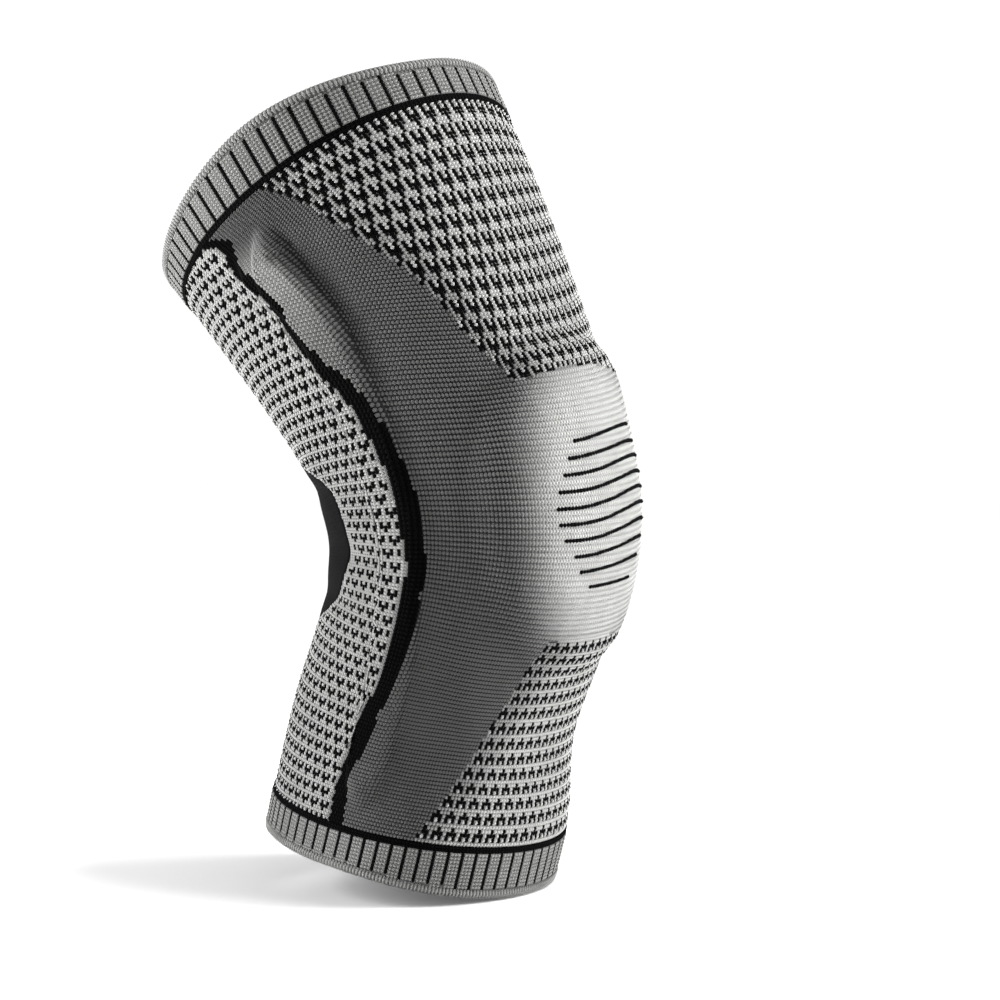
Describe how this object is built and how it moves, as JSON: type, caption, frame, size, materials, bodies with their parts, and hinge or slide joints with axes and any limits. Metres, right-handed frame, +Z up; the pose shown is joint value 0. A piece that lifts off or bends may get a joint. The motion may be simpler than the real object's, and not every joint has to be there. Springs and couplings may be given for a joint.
{
  "type": "knee sleeve",
  "caption": "Knitted compression sleeve in its worn, slightly bent form, with ribbed cuffs, mesh sides, a kneecap ring and side stays.",
  "frame": {"origin": "centre of the knee on the leg's axis, inside the open hollow, where a leg holds the sleeve", "axes": "+Z up the leg towards the thigh rim, the kneecap faces -Y, +X is the wearer's left"},
  "size_m": [0.1332, 0.1906, 0.3054],
  "materials": {
    "cuff_knit": "ribbed doubled knit",
    "black_knit": "plain knit",
    "light_knit": "plain knit with small black motifs",
    "mesh_knit": "pimpled mesh knit",
    "dark_knit": "smooth fine knit",
    "silicone": "smooth translucent silicone",
    "stay_steel": "flat spiral spring"
  },
  "bodies": {
    "root": {"thigh_cuff": "cuff_knit", "thigh_band": "black_knit", "thigh_panel": "light_knit", "patella_panel": "light_knit", "shin_panel": "light_knit", "side_panel_right": "mesh_knit", "side_panel_left": "mesh_knit", "side_stripe_right": "black_knit", "side_stripe_left": "black_knit", "back_panel": "light_knit", "popliteal_panel": "dark_knit", "calf_band": "black_knit", "calf_cuff": "cuff_knit", "patella_ring": "silicone", "side_stay_right": "stay_steel", "side_stay_left": "stay_steel"}
  },
  "joints": []
}
